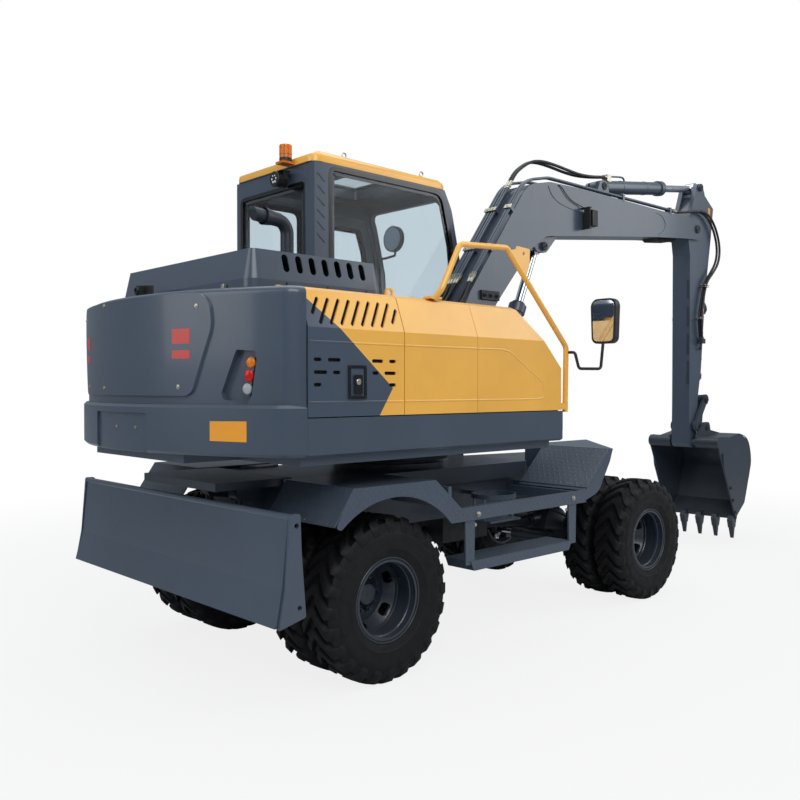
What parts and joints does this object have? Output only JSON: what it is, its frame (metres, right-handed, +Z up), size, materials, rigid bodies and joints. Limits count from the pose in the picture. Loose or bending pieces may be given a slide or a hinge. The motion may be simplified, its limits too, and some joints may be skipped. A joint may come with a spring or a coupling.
{
  "type": "wheeled excavator",
  "caption": "Wheeled excavator with twin tyres, rear dozer blade, swinging house and cab, gooseneck boom, arm and toothed bucket.",
  "frame": {"origin": "middle of the whole machine's length and width, on the ground", "axes": "+X from the blade to the bucket, +Y to the machine's left, +Z up"},
  "size_m": [6.4563, 2.5401, 3.517],
  "materials": {
    "slate_paint": "satin",
    "yellow_paint": "gloss",
    "dark_grey_paint": "satin",
    "chassis_paint": "satin",
    "cab_paint": "satin",
    "rim_paint": "satin",
    "tyre_rubber": "matt",
    "cast_steel": "rough",
    "rod_chrome": "polished",
    "cylinder_paint": "satin",
    "window_glass": "clear",
    "mirror_black": "satin",
    "seat_fabric": "woven",
    "black_plastic": "satin",
    "beacon_amber": "gloss",
    "lamp_black": "satin",
    "exhaust_steel": "heat tinted"
  },
  "bodies": {
    "undercarriage": {"chassis": "chassis_paint", "rear_cover": "chassis_paint", "driveline": "cast_steel", "axle_rear": "chassis_paint", "axle_front": "chassis_paint", "deck_right": "chassis_paint", "deck_left": "chassis_paint"},
    "wheel_rear_left": {"tyres_rear_left": "tyre_rubber", "rim_rear_left": "rim_paint"},
    "wheel_rear_right": {"tyres_rear_right": "tyre_rubber", "rim_rear_right": "rim_paint"},
    "wheel_front_left": {"tyres_front_left": "tyre_rubber", "rim_front_left": "rim_paint"},
    "wheel_front_right": {"tyres_front_right": "tyre_rubber", "rim_front_right": "rim_paint"},
    "knuckle_left": {"knuckle_left": "cast_steel"},
    "knuckle_right": {"knuckle_right": "cast_steel"},
    "steering_rod": {"steering_rod": "rod_chrome"},
    "blade_arms": {"blade_arms": "chassis_paint"},
    "blade_links": {"blade_links": "chassis_paint"},
    "blade": {"blade": "chassis_paint"},
    "blade_cylinder_barrels": {"blade_cylinder_barrels": "cylinder_paint"},
    "blade_cylinder_rods": {"blade_cylinder_rods": "rod_chrome"},
    "upper": {"upper_frame": "slate_paint", "top_frame": "slate_paint", "counterweight": "slate_paint", "engine": "cast_steel", "skirts": "slate_paint", "panels_right": "yellow_paint", "tank": "slate_paint", "tank_lid": "yellow_paint", "handrail": "yellow_paint", "mirror_right": "mirror_black", "mirror_left": "mirror_black", "cab_shell": "cab_paint", "cab_roof": "yellow_paint", "cab_glass": "window_glass", "seat": "seat_fabric", "controls": "black_plastic", "beacon": "beacon_amber", "work_lamps": "lamp_black"},
    "hood": {"hood": "slate_paint", "exhaust_pipe": "exhaust_steel"},
    "door_right": {"door_right": "slate_paint"},
    "door_left": {"door_left": "slate_paint"},
    "cab_door": {"cab_door": "cab_paint", "cab_door_glass": "window_glass"},
    "boom": {"boom": "slate_paint", "boom_lamp": "lamp_black"},
    "arm": {"arm": "slate_paint"},
    "bucket": {"bucket": "dark_grey_paint"},
    "rocker": {"rocker": "dark_grey_paint"},
    "bucket_link": {"bucket_link": "dark_grey_paint"},
    "boom_cylinder_barrel": {"boom_cylinder_barrel": "cylinder_paint"},
    "boom_cylinder_rod": {"boom_cylinder_rod": "rod_chrome"},
    "arm_cylinder_barrel": {"arm_cylinder_barrel": "cylinder_paint"},
    "arm_cylinder_rod": {"arm_cylinder_rod": "rod_chrome"},
    "bucket_cylinder_barrel": {"bucket_cylinder_barrel": "cylinder_paint"},
    "bucket_cylinder_rod": {"bucket_cylinder_rod": "rod_chrome"}
  },
  "joints": [
    {"name": "wheel_rear_left_spin", "type": "hinge", "parent": "undercarriage", "child": "wheel_rear_left", "pos_m": [-2.18312, 0.677, 0.432], "axis": [0, 1, 0], "continuous": true},
    {"name": "wheel_rear_right_spin", "type": "hinge", "parent": "undercarriage", "child": "wheel_rear_right", "pos_m": [-2.18312, -0.677, 0.432], "axis": [0, 1, 0], "continuous": true},
    {"name": "steer_left", "type": "hinge", "parent": "undercarriage", "child": "knuckle_left", "pos_m": [0.36388, 0.5, 0.432], "axis": [0, 0, 1], "range_deg": [-25, 25]},
    {"name": "steer_right", "type": "hinge", "parent": "undercarriage", "child": "knuckle_right", "pos_m": [0.36388, -0.5, 0.432], "axis": [0, 0, 1], "range_deg": [-25.5, 25.5]},
    {"name": "steering_rod_travel", "type": "slide", "parent": "undercarriage", "child": "steering_rod", "axis": [0, 1, 0], "range_m": [-0.0859, 0.0859]},
    {"name": "wheel_front_left_spin", "type": "hinge", "parent": "knuckle_left", "child": "wheel_front_left", "pos_m": [0.36388, 0.677, 0.432], "axis": [0, 1, 0], "continuous": true},
    {"name": "wheel_front_right_spin", "type": "hinge", "parent": "knuckle_right", "child": "wheel_front_right", "pos_m": [0.36388, -0.677, 0.432], "axis": [0, 1, 0], "continuous": true},
    {"name": "blade_lower", "type": "hinge", "parent": "undercarriage", "child": "blade_arms", "pos_m": [-2.36313, 0, 0.43], "axis": [0, -1, 0], "range_deg": [0, 62]},
    {"name": "blade_links_turn", "type": "hinge", "parent": "undercarriage", "child": "blade_links", "pos_m": [-2.36313, 0, 0.66], "axis": [0, -1, 0], "range_deg": [-0.5, 62.5]},
    {"name": "blade_level", "type": "hinge", "parent": "blade_arms", "child": "blade", "pos_m": [-2.85312, 0, 0.62], "axis": [0, -1, 0], "range_deg": [-62.5, 0.5]},
    {"name": "blade_cylinders_turn", "type": "hinge", "parent": "undercarriage", "child": "blade_cylinder_barrels", "pos_m": [-2.60312, 0, 0.95], "axis": [0, -1, 0], "range_deg": [-0.59, 0.5]},
    {"name": "blade_cylinders_stroke", "type": "slide", "parent": "blade_cylinder_barrels", "child": "blade_cylinder_rods", "axis": [0.0622, 0, -0.9981], "range_m": [-0.003, 0.2406]},
    {"name": "swing", "type": "hinge", "parent": "undercarriage", "child": "upper", "pos_m": [-1.35312, 0, 1.13], "axis": [0, 0, 1], "continuous": true},
    {"name": "hood_open", "type": "hinge", "parent": "upper", "child": "hood", "pos_m": [-1.99313, 0, 2.012], "axis": [0, 1, 0], "range_deg": [0, 65]},
    {"name": "door_right_open", "type": "hinge", "parent": "upper", "child": "door_right", "pos_m": [-2.50312, -0.74, 2.005], "axis": [-1, 0, 0], "range_deg": [0, 80]},
    {"name": "door_left_open", "type": "hinge", "parent": "upper", "child": "door_left", "pos_m": [-2.35312, 0.74, 2.005], "axis": [1, 0, 0], "range_deg": [0, 80]},
    {"name": "cab_door_open", "type": "hinge", "parent": "upper", "child": "cab_door", "pos_m": [-1.22313, 1.068, 1.53], "axis": [0, 0, 1], "range_deg": [0, 165]},
    {"name": "boom_lift", "type": "hinge", "parent": "upper", "child": "boom", "pos_m": [-0.95312, 0, 1.64], "axis": [0, -1, 0], "range_deg": [-32, 32]},
    {"name": "boom_cylinder_turn", "type": "hinge", "parent": "upper", "child": "boom_cylinder_barrel", "pos_m": [-0.34613, 0, 1.4], "axis": [0, -1, 0], "range_deg": [-33.15, 33.15]},
    {"name": "boom_cylinder_stroke", "type": "slide", "parent": "boom_cylinder_barrel", "child": "boom_cylinder_rod", "axis": [0.4075, 0, 0.9132], "range_m": [-0.3547, 0.3547]},
    {"name": "arm_curl", "type": "hinge", "parent": "boom", "child": "arm", "pos_m": [2.56288, 0, 3.047], "axis": [0, 1, 0], "range_deg": [-72, 38]},
    {"name": "arm_cylinder_turn", "type": "hinge", "parent": "boom", "child": "arm_cylinder_barrel", "pos_m": [1.05088, 0, 3.222], "axis": [0, 1, 0], "range_deg": [-2.41, 1.51]},
    {"name": "arm_cylinder_stroke", "type": "slide", "parent": "arm_cylinder_barrel", "child": "arm_cylinder_rod", "axis": [0.9889, 0, 0.1487], "range_m": [-0.4757, 0.2525]},
    {"name": "bucket_curl", "type": "hinge", "parent": "arm", "child": "bucket", "pos_m": [2.56588, 0, 1.001], "axis": [0, 1, 0], "range_deg": [-12, 125]},
    {"name": "rocker_turn", "type": "hinge", "parent": "arm", "child": "rocker", "pos_m": [2.56487, 0, 1.154], "axis": [0, 1, 0], "range_deg": [-9.74, 96.75]},
    {"name": "bucket_link_turn", "type": "hinge", "parent": "rocker", "child": "bucket_link", "pos_m": [2.75687, 0, 1.409], "axis": [0, 1, 0], "range_deg": [-50.5, 5.3]},
    {"name": "bucket_cylinder_turn", "type": "hinge", "parent": "arm", "child": "bucket_cylinder_barrel", "pos_m": [2.84687, 0, 2.3], "axis": [0, 1, 0], "range_deg": [-7.38, 1.16]},
    {"name": "bucket_cylinder_stroke", "type": "slide", "parent": "bucket_cylinder_barrel", "child": "bucket_cylinder_rod", "axis": [-0.1005, 0, -0.9949], "range_m": [-0.0445, 0.4352]}
  ],
  "couplings": [
    {"joint": "steer_right", "follows": "steer_left", "ratio": 1},
    {"joint": "steering_rod_travel", "follows": "steer_left", "m_per_rad": -0.19},
    {"joint": "blade_links_turn", "follows": "blade_lower", "ratio": 1},
    {"joint": "blade_level", "follows": "blade_lower", "ratio": -1},
    {"joint": "blade_cylinders_turn", "follows": "blade_lower", "ratio": -0.0014},
    {"joint": "blade_cylinders_stroke", "follows": "blade_lower", "m_per_rad": 0.2196},
    {"joint": "boom_cylinder_turn", "follows": "boom_lift", "ratio": 1.0204},
    {"joint": "boom_cylinder_stroke", "follows": "boom_lift", "m_per_rad": 0.6297},
    {"joint": "arm_cylinder_turn", "follows": "arm_curl", "ratio": 0.0265},
    {"joint": "arm_cylinder_stroke", "follows": "arm_curl", "m_per_rad": 0.3762},
    {"joint": "rocker_turn", "follows": "bucket_curl", "ratio": 0.77},
    {"joint": "bucket_link_turn", "follows": "bucket_curl", "ratio": -0.4},
    {"joint": "bucket_cylinder_turn", "follows": "bucket_curl", "ratio": -0.055},
    {"joint": "bucket_cylinder_stroke", "follows": "bucket_curl", "m_per_rad": 0.1981}
  ]
}
